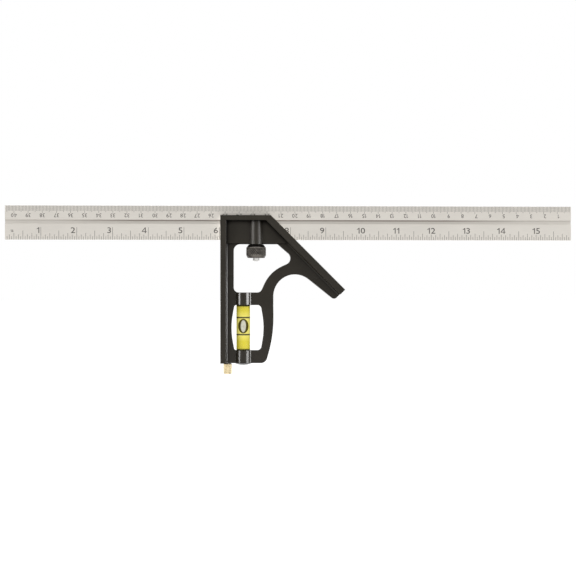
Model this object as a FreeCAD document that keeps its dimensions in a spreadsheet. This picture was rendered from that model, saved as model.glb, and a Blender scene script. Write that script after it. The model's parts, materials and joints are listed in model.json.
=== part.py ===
import FreeCAD, Part
import math
import os
import Sketcher

# Combination square: a graduated blade locked in the slot of a cast head that also
# holds a spirit level vial and a scriber.
#
# Frame, in millimetres: the origin is the inner corner where the blade's lower edge meets
# the head's 90 degree face, in the middle of the blade's thickness. +X runs along the
# blade from the 90 degree face into the head, +Z from the vial up to the blade, and -Y
# out of the blade's grooved face.

SIZES = {
    # blade
    "blade_length": 406.4,
    "blade_left": -153.0,
    "blade_height": 24.4,
    "blade_thick": 2.4,
    "groove_low": 11.5,
    "groove_high": 14.35,
    "groove_depth": 0.8,
    # head: outer outline of the casting
    "head_top": 17.4,
    "head_bottom": -88.1,
    "mitre_top": 35.9,
    "tip_along": 88.9,
    "tip_up": -35.6,
    "heel_along": 81.6,
    "heel_up": -42.9,
    "heel_round": 2.5,
    "arch_along": 37.7,
    "arch_up": -7.7,
    "arch_round": 15.5,
    "grip_along": 38.1,
    "grip_up": -68.5,
    "grip_round": 95.0,
    "toe_along": 32.4,
    "toe_round": 4.5,
    # head: thicknesses across Y
    "web_thick": 6.2,
    "panel_thick": 8.0,
    "flange_thick": 19.0,
    # head: flanges, rib and cheek panel
    "flange_depth": 4.1,
    "mitre_depth_along": 6.8,
    "mitre_end_step": 3.4,
    "rib_low": 14.0,
    "rib_end": 33.0,
    "panel_low": -2.5,
    "panel_overlap": 0.5,
    "root_fillet": 1.5,
    # head: opening beside the lock
    "window_left": 9.6,
    "window_top": -3.0,
    "window_low": -37.6,
    "window_corner": 4.5,
    "window_slope_along": 41.0,
    "window_slope_round": 1.0,
    "window_nose_along": 54.0,
    "window_nose_up": -14.3,
    "window_nose_round": 4.6,
    "window_bend_along": 35.5,
    "window_bend_up": -22.8,
    "window_bend_round": 26.0,
    "window_foot_along": 28.7,
    "window_foot_round": 3.5,
    # head: opening around the vial
    "sight_top": -46.6,
    "sight_low": -79.0,
    "sight_left": 10.1,
    "sight_left_bow": 7.1,
    "sight_right": 28.9,
    "sight_right_bow": 31.7,
    "sight_middle": -62.8,
    "sight_bow_round": 55.0,
    "sight_left_round": 1.5,
    "sight_right_round": 2.8,
    # blade slot
    "slot_width": 2.6,
    "slot_start": -1.0,
    "slot_end": 60.0,
    "slot_top": 20.0,
    # lock: boss, bolt, nut and spring
    "lock_along": 25.6,
    "boss_low": -3.2,
    "boss_high": 14.2,
    "boss_round": 4.6,
    "boss_side": 2.4,
    "bolt_radius": 2.5,
    "bolt_bore": 2.56,
    "bolt_bore_top": 15.4,
    "bolt_low": -15.2,
    "bolt_high": 14.0,
    "bolt_chamfer": 0.6,
    "bolt_flat": -1.35,
    "bolt_floor": -1.1,
    "tongue_reach": -0.6,
    "tongue_low": 11.52,
    "tongue_high": 13.3,
    "spring_pocket_radius": 3.65,
    "spring_pocket_top": -1.5,
    "nut_radius": 7.1,
    "nut_high": -3.25,
    "nut_low": -12.9,
    "nut_bore": 2.56,
    "nut_top_chamfer_along": 1.7,
    "nut_top_chamfer_up": 2.2,
    "nut_low_chamfer_along": 0.9,
    "nut_low_chamfer_up": 1.8,
    "nut_pocket_floor": -6.5,
    "spring_radius": 3.1,
    "wire_radius": 0.35,
    "spring_low": -6.1,
    "spring_rise": 4.2,
    "spring_pitch": 1.05,
    # vial and its sockets
    "vial_along": 16.4,
    "socket_radius": 6.0,
    "socket_fillet": 2.0,
    "vial_bore": 4.95,
    "vial_bore_top": -40.5,
    "vial_radius": 4.9,
    "vial_inner": 4.45,
    "vial_high": -41.0,
    "vial_low": -84.5,
    "vial_end_wall": 1.5,
    "stopper_thick": 3.0,
    "vial_edge_round": 0.4,
    "bubble_middle": -61.6,
    "bubble_off": -0.4,
    "bubble_radius": 3.55,
    "bubble_half": 5.2,
    "bubble_round": 3.4,
    "channel_radius": 3.6,
    "channel_half": 12.7,
    "plug_radius": 6.5,
    "plug_low": -89.65,
    "plug_knee": 3.25,
    "plug_dome_round": 13.0,
    "plug_spigot_radius": 4.9,
    "plug_spigot_top": -85.0,
    # scriber
    "scriber_along": 5.24,
    "scriber_bore": 1.1,
    "scriber_bore_top": -26.0,
    "sleeve_radius": 1.7,
    "sleeve_bore": 0.83,
    "sleeve_top": -80.1,
    "needle_radius": 0.8,
    "needle_point": -30.0,
    "needle_taper": -36.0,
    "needle_tip_radius": 0.08,
    "needle_low": -94.0,
    "knob_radius": 3.0,
    "knob_high": -88.4,
    "knob_low": -96.0,
    "knob_chamfer": 0.5,
    # how far a cut runs past the face it starts from
    "overcut": 1.0,
}

SHEET = "Sizes"
# Sketcher's numbers for a line's or an arc's points, and for the sketch's own origin
START = 1
END = 2
CENTRE = 3
ORIGIN = -1
FULL_TURN = 360
# the least length or volume that counts as a change
COARSE = 1e-4
# how closely an edge has to lie to where a fillet is wanted
CLOSE = 0.05
# the spring's chords, and the sweep's own number for mitred corners
CHORDS_PER_TURN = 16
MITRED = 1

doc = FreeCAD.newDocument("combination_square")
sheet = doc.addObject("Spreadsheet::Sheet", SHEET)
for row, (alias, size) in enumerate(SIZES.items(), start=1):
    sheet.set(f"A{row}", alias)
    sheet.set(f"B{row}", str(size))
    sheet.setAlias(f"B{row}", alias)
doc.recompute()


# ---------------------------------------------------------------- sizes and sketches

def number(text):
    """The value of a sum such as "nut_low + nut_chamfer"."""
    total = 0.0
    sign = 1.0
    for word in text.split():
        if word in "+-":
            sign = 1.0 if word == "+" else -1.0
        else:
            total += sign * SIZES[word] if word in SIZES else sign * float(word)
    return total


def formula(text):
    """The same sum, as an expression that reads the sheet."""
    words = [f"{SHEET}.{word}" if word in SIZES else word for word in text.split()]
    return " ".join(words)


def new_body(label, along=None):
    body = doc.addObject("PartDesign::Body", label)
    body.Label = label
    if along:
        body.setExpression(".Placement.Base.x", formula(along))
    return body


def new_sketch(body, name, plane, offset=None):
    sketch = body.newObject("Sketcher::SketchObject", name)
    support = next(item for item in body.Origin.OriginFeatures if item.Role == plane)
    sketch.AttachmentSupport = [(support, "")]
    sketch.MapMode = "FlatFace"
    if offset:
        sketch.setExpression(".AttachmentOffset.Base.z", formula(offset))
    return sketch


def pin_point(sketch, geometry, place, across, up):
    """Hold one sketch point at two sheet distances from the sketch's origin."""
    for kind, text in (("DistanceX", across), ("DistanceY", up)):
        rule = Sketcher.Constraint(kind, ORIGIN, START, geometry, place, number(text))
        index = sketch.addConstraint(rule)
        sketch.setExpression(f"Constraints[{index}]", formula(text))


def add_circle(sketch, across, up, radius):
    centre = FreeCAD.Vector(number(across), number(up), 0)
    circle = Part.Circle(centre, FreeCAD.Vector(0, 0, 1), number(radius))
    geometry = sketch.addGeometry(circle)
    pin_point(sketch, geometry, CENTRE, across, up)
    index = sketch.addConstraint(Sketcher.Constraint("Radius", geometry, number(radius)))
    sketch.setExpression(f"Constraints[{index}]", formula(radius))


def corner_arc(before, corner, after, radius):
    """Tangent points of a round corner, its arc, and the arc ends that they are."""
    arriving = (before - corner).normalize()
    leaving = (after - corner).normalize()
    half_angle = arriving.getAngle(leaving) / 2
    reach = radius / math.tan(half_angle)
    first = corner + arriving * reach
    last = corner + leaving * reach
    bisector = (arriving + leaving).normalize()
    centre = corner + bisector * (radius / math.sin(half_angle))
    first_angle = math.atan2(first.y - centre.y, first.x - centre.x)
    last_angle = math.atan2(last.y - centre.y, last.x - centre.x)
    circle = Part.Circle(centre, FreeCAD.Vector(0, 0, 1), radius)
    if (last_angle - first_angle) % (2 * math.pi) < math.pi:
        return first, last, Part.ArcOfCircle(circle, first_angle, last_angle), START, END
    return first, last, Part.ArcOfCircle(circle, last_angle, first_angle), END, START


def add_outline(sketch, corners):
    """A closed outline of straight sides. A corner is (across, up) or (across, up, radius)."""
    points = [FreeCAD.Vector(number(c[0]), number(c[1]), 0) for c in corners]
    count = len(corners)
    rounds = []
    for i, corner in enumerate(corners):
        if len(corner) == 3:
            size = number(corner[2])
            rounds.append(corner_arc(points[i - 1], points[i], points[(i + 1) % count], size))
        else:
            rounds.append((points[i], points[i], None, None, None))
    lines = []
    for i in range(count):
        side = Part.LineSegment(rounds[i][1], rounds[(i + 1) % count][0])
        lines.append(sketch.addGeometry(side))
    for i, corner in enumerate(corners):
        arriving = lines[i - 1]
        leaving = lines[i]
        first, last, arc, start, end = rounds[i]
        if arc is None:
            sketch.addConstraint(Sketcher.Constraint("Coincident", arriving, END, leaving, START))
            pin_point(sketch, leaving, START, corner[0], corner[1])
            continue
        bend = sketch.addGeometry(arc)
        sketch.addConstraint(Sketcher.Constraint("Tangent", arriving, END, bend, start))
        sketch.addConstraint(Sketcher.Constraint("Tangent", bend, end, leaving, START))
        index = sketch.addConstraint(Sketcher.Constraint("Radius", bend, number(corner[2])))
        sketch.setExpression(f"Constraints[{index}]", formula(corner[2]))
        mark = sketch.addGeometry(Part.Point(points[i]), True)
        sketch.addConstraint(Sketcher.Constraint("PointOnObject", mark, START, arriving))
        sketch.addConstraint(Sketcher.Constraint("PointOnObject", mark, START, leaving))
        pin_point(sketch, mark, START, corner[0], corner[1])


# ---------------------------------------------------------------- features

def pad_across(body, name, corners, thickness):
    """A plate with its outline in XZ and its thickness centred on Y = 0."""
    sketch = new_sketch(body, name + "_sketch", "XZ_Plane")
    add_outline(sketch, corners)
    pad = body.newObject("PartDesign::Pad", name)
    pad.Profile = sketch
    pad.Midplane = True
    pad.setExpression("Length", formula(thickness))
    doc.recompute()
    return pad


def must_remove(body, before, name):
    doc.recompute()
    if body.Shape.Volume >= before - COARSE:
        raise ValueError(f"{name} removed nothing from {body.Label}")


def cut_across(body, name, corners, thickness):
    """An opening with its outline in XZ, cut centred on Y = 0."""
    before = body.Shape.Volume
    sketch = new_sketch(body, name + "_sketch", "XZ_Plane")
    add_outline(sketch, corners)
    pocket = body.newObject("PartDesign::Pocket", name)
    pocket.Profile = sketch
    pocket.Midplane = True
    pocket.setExpression("Length", formula(thickness))
    must_remove(body, before, name)
    return pocket


def bore_up(body, name, along, radius, low, high):
    """A round hole along +Z from low to high."""
    before = body.Shape.Volume
    sketch = new_sketch(body, name + "_sketch", "XY_Plane", low)
    add_circle(sketch, along, "0", radius)
    pocket = body.newObject("PartDesign::Pocket", name)
    pocket.Profile = sketch
    pocket.Reversed = True
    pocket.setExpression("Length", f"{formula(high)} - ({formula(low)})")
    must_remove(body, before, name)
    return pocket


def turn(body, name, corners):
    """A round body turned about its own Z axis from half a profile in XZ."""
    sketch = new_sketch(body, name + "_sketch", "XZ_Plane")
    add_outline(sketch, corners)
    revolution = body.newObject("PartDesign::Revolution", name)
    revolution.Profile = sketch
    revolution.ReferenceAxis = (sketch, ["V_Axis"])
    revolution.Angle = FULL_TURN
    doc.recompute()
    return revolution


def fillet_edges(body, name, radius, wanted):
    """Round the tip feature's edges for which wanted(middle, direction) is true."""
    base = body.Tip
    names = []
    for i, edge in enumerate(base.Shape.Edges, start=1):
        middle = edge.valueAt((edge.FirstParameter + edge.LastParameter) / 2)
        ends = edge.Vertexes
        direction = ends[-1].Point - ends[0].Point
        if direction.Length > COARSE and wanted(middle, direction.normalize()):
            names.append(f"Edge{i}")
    fillet = body.newObject("PartDesign::Fillet", name)
    fillet.Base = (base, names)
    fillet.setExpression("Radius", formula(radius))
    doc.recompute()
    return fillet


def near(one, other):
    return abs(one - other) < CLOSE


# ---------------------------------------------------------------- blade

def make_blade():
    body = new_body("blade")
    right = "blade_left + blade_length"
    plate = [
        ("blade_left", "0"),
        (right, "0"),
        (right, "blade_height"),
        ("blade_left", "blade_height"),
    ]
    pad_across(body, "blade_plate", plate, "blade_thick")
    before = body.Shape.Volume
    sketch = new_sketch(body, "blade_groove_sketch", "XZ_Plane")
    groove = [
        ("blade_left - overcut", "groove_low"),
        (right + " + overcut", "groove_low"),
        (right + " + overcut", "groove_high"),
        ("blade_left - overcut", "groove_high"),
    ]
    add_outline(sketch, groove)
    face_depth = f"{SHEET}.blade_thick / 2"
    sketch.setExpression(".AttachmentOffset.Base.z", face_depth)
    pocket = body.newObject("PartDesign::Pocket", "blade_groove")
    pocket.Profile = sketch
    pocket.setExpression("Length", formula("groove_depth"))
    must_remove(body, before, "blade_groove")
    return body


# ---------------------------------------------------------------- head

def casting_outline():
    return [
        ("0", "head_top"),
        ("mitre_top", "head_top"),
        ("tip_along", "tip_up"),
        ("heel_along", "heel_up", "heel_round"),
        ("arch_along", "arch_up", "arch_round"),
        ("grip_along", "grip_up", "grip_round"),
        ("toe_along", "head_bottom", "toe_round"),
        ("0", "head_bottom"),
    ]


def flange_outline():
    return [
        ("0", "head_top"),
        ("flange_depth", "head_top"),
        ("flange_depth", "head_bottom"),
        ("0", "head_bottom"),
    ]


def mitre_outline():
    return [
        ("mitre_top - mitre_depth_along", "head_top"),
        ("mitre_top", "head_top"),
        ("tip_along", "tip_up"),
        ("tip_along - mitre_end_step", "tip_up - mitre_end_step"),
    ]


def rib_outline():
    return [
        ("0", "rib_low"),
        ("rib_end", "rib_low"),
        ("rib_end", "head_top"),
        ("0", "head_top"),
    ]


def panel_outline():
    right = "mitre_top - mitre_depth_along + head_top + panel_overlap"
    return [
        ("flange_depth - panel_overlap", "panel_low"),
        (right + " - panel_low", "panel_low"),
        (right + " - rib_low", "rib_low"),
        ("flange_depth - panel_overlap", "rib_low"),
    ]


def window_outline():
    return [
        ("window_left", "window_top", "window_corner"),
        ("window_slope_along", "window_top", "window_slope_round"),
        ("window_nose_along", "window_nose_up", "window_nose_round"),
        ("window_bend_along", "window_bend_up", "window_bend_round"),
        ("window_foot_along", "window_low", "window_foot_round"),
        ("window_left", "window_low", "window_foot_round"),
    ]


def sight_outline():
    return [
        ("sight_left", "sight_top", "sight_left_round"),
        ("sight_right", "sight_top", "sight_right_round"),
        ("sight_right_bow", "sight_middle", "sight_bow_round"),
        ("sight_right", "sight_low", "sight_right_round"),
        ("sight_left", "sight_low", "sight_left_round"),
        ("sight_left_bow", "sight_middle", "sight_bow_round"),
    ]


def slot_outline():
    return [
        ("slot_start", "0"),
        ("slot_end", "0"),
        ("slot_end", "slot_top"),
        ("slot_start", "slot_top"),
    ]


def add_socket(body, name, low, high):
    """The round boss that holds one end of the vial."""
    sketch = new_sketch(body, name + "_sketch", "XY_Plane", low)
    add_circle(sketch, "vial_along", "0", "socket_radius")
    pad = body.newObject("PartDesign::Pad", name)
    pad.Profile = sketch
    pad.setExpression("Length", f"{formula(high)} - ({formula(low)})")
    doc.recompute()
    return pad


def add_lock_boss(body):
    """An upright boss with round sides that the draw bolt runs in."""
    sketch = new_sketch(body, "lock_boss_sketch", "XY_Plane", "boss_low")
    x = SIZES["lock_along"]
    r = SIZES["boss_round"]
    side = SIZES["boss_side"]
    up = FreeCAD.Vector(0, 0, 1)
    back = Part.Circle(FreeCAD.Vector(x, side, 0), up, r)
    front = Part.Circle(FreeCAD.Vector(x, -side, 0), up, r)
    back_arc = sketch.addGeometry(Part.ArcOfCircle(back, 0, math.pi))
    front_arc = sketch.addGeometry(Part.ArcOfCircle(front, math.pi, 2 * math.pi))
    left_side = FreeCAD.Vector(x - r, side, 0), FreeCAD.Vector(x - r, -side, 0)
    right_side = FreeCAD.Vector(x + r, -side, 0), FreeCAD.Vector(x + r, side, 0)
    left = sketch.addGeometry(Part.LineSegment(*left_side))
    right = sketch.addGeometry(Part.LineSegment(*right_side))
    sketch.addConstraint(Sketcher.Constraint("Tangent", back_arc, END, left, START))
    sketch.addConstraint(Sketcher.Constraint("Tangent", left, END, front_arc, START))
    sketch.addConstraint(Sketcher.Constraint("Tangent", front_arc, END, right, START))
    sketch.addConstraint(Sketcher.Constraint("Tangent", right, END, back_arc, START))
    pin_point(sketch, back_arc, CENTRE, "lock_along", "boss_side")
    pin_point(sketch, front_arc, CENTRE, "lock_along", "0 - boss_side")
    index = sketch.addConstraint(Sketcher.Constraint("Radius", back_arc, r))
    sketch.setExpression(f"Constraints[{index}]", formula("boss_round"))
    pad = body.newObject("PartDesign::Pad", "lock_boss")
    pad.Profile = sketch
    pad.setExpression("Length", formula("boss_high") + " - " + formula("boss_low"))
    doc.recompute()
    return pad


def is_root_edge(middle, direction):
    """An inner edge between a flange and the web."""
    if not near(abs(middle.y), SIZES["web_thick"] / 2):
        return False
    on_flange = near(middle.x, SIZES["flange_depth"]) and near(abs(direction.z), 1)
    inner_line = SIZES["mitre_top"] - SIZES["mitre_depth_along"] + SIZES["head_top"]
    on_mitre = near(middle.x + middle.z, inner_line) and near(abs(direction.x), math.sqrt(0.5))
    return on_flange or on_mitre


def is_socket_edge(middle, direction):
    """An upright edge between a vial socket and the web, on the grip's side."""
    half = SIZES["web_thick"] / 2
    reach = math.sqrt(SIZES["socket_radius"] ** 2 - half ** 2)
    beside = near(middle.x - SIZES["vial_along"], reach)
    return beside and near(abs(middle.y), half) and near(abs(direction.z), 1)


def make_head():
    body = new_body("head")
    pad_across(body, "casting", casting_outline(), "web_thick")
    pad_across(body, "square_flange", flange_outline(), "flange_thick")
    pad_across(body, "mitre_flange", mitre_outline(), "flange_thick")
    fillet_edges(body, "flange_roots", "root_fillet", is_root_edge)
    pad_across(body, "top_rib", rib_outline(), "flange_thick")
    pad_across(body, "cheek_panel", panel_outline(), "panel_thick")
    cut_across(body, "window", window_outline(), "flange_thick")
    cut_across(body, "vial_sight", sight_outline(), "flange_thick")
    add_socket(body, "upper_socket", "sight_top", "window_low")
    add_socket(body, "lower_socket", "head_bottom", "sight_low")
    fillet_edges(body, "socket_roots", "socket_fillet", is_socket_edge)
    add_lock_boss(body)
    cut_across(body, "blade_slot", slot_outline(), "slot_width")
    bore_up(body, "bolt_bore", "lock_along", "bolt_bore", "boss_low", "bolt_bore_top")
    bore_up(body, "spring_pocket", "lock_along", "spring_pocket_radius", "boss_low", "spring_pocket_top")
    bore_up(body, "lower_vial_bore", "vial_along", "vial_bore", "head_bottom", "sight_low + overcut")
    bore_up(body, "upper_vial_bore", "vial_along", "vial_bore", "sight_top - overcut", "vial_bore_top")
    bore_up(body, "scriber_bore", "scriber_along", "scriber_bore", "head_bottom", "scriber_bore_top")
    bore_up(body, "sleeve_seat", "scriber_along", "sleeve_radius", "head_bottom", "sleeve_top")
    return body


# ---------------------------------------------------------------- lock

def make_lock_bolt():
    body = new_body("lock_bolt", "lock_along")
    rod = [
        ("0", "bolt_low"),
        ("bolt_radius - bolt_chamfer", "bolt_low"),
        ("bolt_radius", "bolt_low + bolt_chamfer"),
        ("bolt_radius", "bolt_high"),
        ("0", "bolt_high"),
    ]
    turn(body, "bolt_rod", rod)
    before = body.Shape.Volume
    beyond = "bolt_radius + overcut"
    above = "bolt_high + overcut"
    flat = [
        (beyond, "bolt_floor"),
        (beyond, above),
        ("bolt_flat", above),
        ("bolt_flat", "tongue_high"),
        ("tongue_reach", "tongue_high"),
        ("tongue_reach", "tongue_low"),
        ("bolt_flat", "tongue_low"),
        ("bolt_flat", "bolt_floor"),
    ]
    sketch = new_sketch(body, "bolt_flat_sketch", "YZ_Plane")
    add_outline(sketch, flat)
    pocket = body.newObject("PartDesign::Pocket", "bolt_flat")
    pocket.Profile = sketch
    pocket.Midplane = True
    pocket.setExpression("Length", formula("bolt_radius + bolt_radius + overcut"))
    must_remove(body, before, "bolt_flat")
    return body


def make_lock_nut():
    body = new_body("lock_nut", "lock_along")
    profile = [
        ("nut_bore", "nut_low"),
        ("nut_radius - nut_low_chamfer_along", "nut_low"),
        ("nut_radius", "nut_low + nut_low_chamfer_up"),
        ("nut_radius", "nut_high - nut_top_chamfer_up"),
        ("nut_radius - nut_top_chamfer_along", "nut_high"),
        ("spring_pocket_radius", "nut_high"),
        ("spring_pocket_radius", "nut_pocket_floor"),
        ("nut_bore", "nut_pocket_floor"),
    ]
    turn(body, "nut_turned", profile)
    return body


def make_lock_spring():
    """A coil of short chords around the bolt, from the head's ledge to the nut's floor."""
    radius = sheet.get("spring_radius")
    pitch = sheet.get("spring_pitch")
    chords = int(sheet.get("spring_rise") / pitch * CHORDS_PER_TURN)
    points = []
    for i in range(chords + 1):
        turned = 2 * math.pi * i / CHORDS_PER_TURN
        across = radius * math.cos(turned)
        along = radius * math.sin(turned)
        points.append(FreeCAD.Vector(across, along, pitch * i / CHORDS_PER_TURN))
    path = Part.makePolygon(points)
    ring = Part.makeCircle(sheet.get("wire_radius"), points[0], points[1] - points[0])
    spring = doc.addObject("Part::Feature", "lock_spring")
    spring.Shape = path.makePipeShell([Part.Wire([ring])], True, False, MITRED)
    spring.Label = "lock_spring"
    seat = FreeCAD.Vector(sheet.get("lock_along"), 0, sheet.get("spring_low"))
    spring.Placement = FreeCAD.Placement(seat, FreeCAD.Rotation())
    return spring


# ---------------------------------------------------------------- vial

def make_vial_tube():
    body = new_body("vial_tube", "vial_along")
    profile = [
        ("0", "vial_high - vial_end_wall"),
        ("vial_inner", "vial_high - vial_end_wall"),
        ("vial_inner", "vial_low"),
        ("vial_radius", "vial_low", "vial_edge_round"),
        ("vial_radius", "vial_high", "vial_edge_round"),
        ("0", "vial_high"),
    ]
    turn(body, "tube_turned", profile)
    return body


def make_vial_stopper():
    body = new_body("vial_stopper", "vial_along")
    profile = [
        ("0", "vial_low"),
        ("vial_inner", "vial_low"),
        ("vial_inner", "vial_low + stopper_thick"),
        ("0", "vial_low + stopper_thick"),
    ]
    turn(body, "stopper_turned", profile)
    return body


def make_vial_fluid():
    """The filling, with the space along which the bubble can run."""
    body = new_body("vial_fluid", "vial_along")
    profile = [
        ("0", "vial_low + stopper_thick"),
        ("vial_inner", "vial_low + stopper_thick"),
        ("vial_inner", "vial_high - vial_end_wall"),
        ("0", "vial_high - vial_end_wall"),
    ]
    turn(body, "fluid_turned", profile)
    before = body.Shape.Volume
    sketch = new_sketch(body, "bubble_run_sketch", "XY_Plane", "bubble_middle")
    add_circle(sketch, "0", "bubble_off", "channel_radius")
    pocket = body.newObject("PartDesign::Pocket", "bubble_run")
    pocket.Profile = sketch
    pocket.Midplane = True
    pocket.setExpression("Length", formula("channel_half + channel_half"))
    must_remove(body, before, "bubble_run")
    return body


def make_vial_bubble():
    body = new_body("vial_bubble", "vial_along")
    body.setExpression(".Placement.Base.y", formula("bubble_off"))
    body.setExpression(".Placement.Base.z", formula("bubble_middle"))
    profile = [
        ("0", "0 - bubble_half"),
        ("bubble_radius", "0 - bubble_half", "bubble_round"),
        ("bubble_radius", "bubble_half", "bubble_round"),
        ("0", "bubble_half"),
    ]
    turn(body, "bubble_turned", profile)
    return body


def make_socket_plug():
    body = new_body("socket_plug", "vial_along")
    profile = [
        ("0", "plug_low"),
        ("plug_knee", "plug_low", "plug_dome_round"),
        ("plug_radius", "head_bottom"),
        ("plug_spigot_radius", "head_bottom"),
        ("plug_spigot_radius", "plug_spigot_top"),
        ("0", "plug_spigot_top"),
    ]
    turn(body, "plug_turned", profile)
    return body


# ---------------------------------------------------------------- scriber

def make_scriber_sleeve():
    body = new_body("scriber_sleeve", "scriber_along")
    profile = [
        ("sleeve_bore", "head_bottom"),
        ("sleeve_radius", "head_bottom"),
        ("sleeve_radius", "sleeve_top"),
        ("sleeve_bore", "sleeve_top"),
    ]
    turn(body, "sleeve_turned", profile)
    return body


def make_scriber_needle():
    body = new_body("scriber_needle", "scriber_along")
    profile = [
        ("0", "needle_low"),
        ("needle_radius", "needle_low"),
        ("needle_radius", "needle_taper"),
        ("needle_tip_radius", "needle_point"),
        ("0", "needle_point"),
    ]
    turn(body, "needle_turned", profile)
    return body


def make_scriber_knob():
    body = new_body("scriber_knob", "scriber_along")
    profile = [
        ("0", "knob_low"),
        ("knob_radius - knob_chamfer", "knob_low"),
        ("knob_radius", "knob_low + knob_chamfer"),
        ("knob_radius", "knob_high - knob_chamfer"),
        ("knob_radius - knob_chamfer", "knob_high"),
        ("needle_radius", "knob_high"),
        ("needle_radius", "needle_low"),
        ("0", "needle_low"),
    ]
    turn(body, "knob_turned", profile)
    return body


# ---------------------------------------------------------------- check and write

def check_document():
    for item in doc.Objects:
        if "Invalid" in item.State or "Error" in item.State:
            raise ValueError(f"{item.Label} failed: {item.State}")


def write_parts(parts):
    for part in parts:
        if part.Shape.isNull() or not part.Shape.isValid():
            raise ValueError(f"{part.Label} has no valid shape")
    os.makedirs("parts", exist_ok=True)
    for part in parts:
        part.Shape.exportStep(f"parts/{part.Label}.step")
        print(part.Label, round(part.Shape.Volume, 2), len(part.Shape.Solids))


PARTS = [
    make_blade(),
    make_head(),
    make_lock_bolt(),
    make_lock_nut(),
    make_lock_spring(),
    make_vial_tube(),
    make_vial_stopper(),
    make_vial_fluid(),
    make_vial_bubble(),
    make_socket_plug(),
    make_scriber_sleeve(),
    make_scriber_needle(),
    make_scriber_knob(),
]
doc.recompute()
check_document()
write_parts(PARTS)
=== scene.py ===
import json
import math

import bmesh
import bpy
from mathutils import Matrix, Vector


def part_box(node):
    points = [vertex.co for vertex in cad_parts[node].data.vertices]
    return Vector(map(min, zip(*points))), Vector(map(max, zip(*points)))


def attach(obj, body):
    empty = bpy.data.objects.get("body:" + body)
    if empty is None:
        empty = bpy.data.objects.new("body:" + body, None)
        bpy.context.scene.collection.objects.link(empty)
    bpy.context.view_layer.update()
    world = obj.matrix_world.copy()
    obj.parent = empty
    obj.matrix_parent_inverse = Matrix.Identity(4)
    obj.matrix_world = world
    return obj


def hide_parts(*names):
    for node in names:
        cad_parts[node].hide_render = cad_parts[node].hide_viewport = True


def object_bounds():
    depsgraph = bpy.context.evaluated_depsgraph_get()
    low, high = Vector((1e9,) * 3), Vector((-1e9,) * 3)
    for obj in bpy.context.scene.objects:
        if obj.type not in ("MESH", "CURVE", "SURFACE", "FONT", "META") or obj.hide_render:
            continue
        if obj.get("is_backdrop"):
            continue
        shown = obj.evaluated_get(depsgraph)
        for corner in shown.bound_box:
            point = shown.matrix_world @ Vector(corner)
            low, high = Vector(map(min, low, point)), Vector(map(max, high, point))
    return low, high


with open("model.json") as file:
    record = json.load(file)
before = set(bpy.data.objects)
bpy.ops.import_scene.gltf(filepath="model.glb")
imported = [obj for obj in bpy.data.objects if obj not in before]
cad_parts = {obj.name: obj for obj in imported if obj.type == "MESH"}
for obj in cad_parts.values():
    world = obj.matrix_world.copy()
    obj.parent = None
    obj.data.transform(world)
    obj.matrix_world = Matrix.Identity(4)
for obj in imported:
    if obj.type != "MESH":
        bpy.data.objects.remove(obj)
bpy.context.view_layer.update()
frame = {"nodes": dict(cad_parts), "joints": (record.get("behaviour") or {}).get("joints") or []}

# The looks of a combination square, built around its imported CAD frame. Lengths are metres.
MM = 0.001
INCH = 25.4 * MM


# ---------------------------------------------------------------- places taken from the frame

class Upright:
    """Where a round piece stands: its axis along X, radius, foot, top and middle height."""

    def __init__(self, node):
        low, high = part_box(node)
        self.axis = (low.x + high.x) / 2
        self.radius = (high.x - low.x) / 2
        self.foot = low.z
        self.top = high.z
        self.middle = (low.z + high.z) / 2


NUT = Upright("lock_nut")
BOLT = Upright("lock_bolt")
TUBE = Upright("vial_tube")
FLUID = Upright("vial_fluid")
BUBBLE = Upright("vial_bubble")
KNOB = Upright("scriber_knob")

BLADE_LOW, BLADE_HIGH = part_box("blade")
BLADE_LENGTH = BLADE_HIGH.x - BLADE_LOW.x
BLADE_HEIGHT = BLADE_HIGH.z - BLADE_LOW.z

# The groove's floor holds the blade's only corners just in front of its middle.
GROOVE_FLOOR = [v.co for v in frame["nodes"]["blade"].data.vertices if BLADE_LOW.y / 2 < v.co.y < 0]
GROOVE_TOP = max(co.z for co in GROOVE_FLOOR)

# The 45 degree face is where X + Z is greatest on the head.
MITRE_LINE = max(v.co.x + v.co.z for v in frame["nodes"]["head"].data.vertices)


# ---------------------------------------------------------------- sizes

# Blade graduations. A scale's marks are pairs: how many parts apart they are, and how long.
# The gap between digits and their stretch are shares of their height and width.
MARK_PROUD = 0.012 * MM
MARK_SUNK = 0.008 * MM
EDGE_GAP = 0.15 * MM
DIGIT_GAP = 0.16

INCH_TICK_WIDTH = 0.25 * MM
SIXTEENTHS = ((16, 9.0 * MM), (8, 6.5 * MM), (4, 4.7 * MM), (2, 3.7 * MM), (1, 2.4 * MM))
EIGHTHS = ((8, 9.0 * MM), (4, 6.5 * MM), (2, 4.7 * MM), (1, 3.4 * MM))
INCH_LABEL_FOOT = 4.75 * MM
INCH_LABEL_HEIGHT = 4.1 * MM
INCH_LABEL_STRETCH = 1.22
INCH_LABEL_BESIDE = 1.1 * MM
INCH_LABEL_ABOVE = 0.7 * MM
PARTS_LABEL_PLACE = 5.0 * MM
PARTS_LABEL_FOOT = 5.4 * MM
PARTS_LABEL_HEIGHT = 1.9 * MM

METRIC_TICK_WIDTH = 0.22 * MM
MILLIMETRES = ((10, 5.2 * MM), (5, 4.5 * MM), (1, 3.8 * MM))
METRIC_LABEL_FOOT = 16.0 * MM
METRIC_LABEL_HEIGHT = 2.75 * MM
METRIC_LABEL_BESIDE = 1.0 * MM

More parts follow.
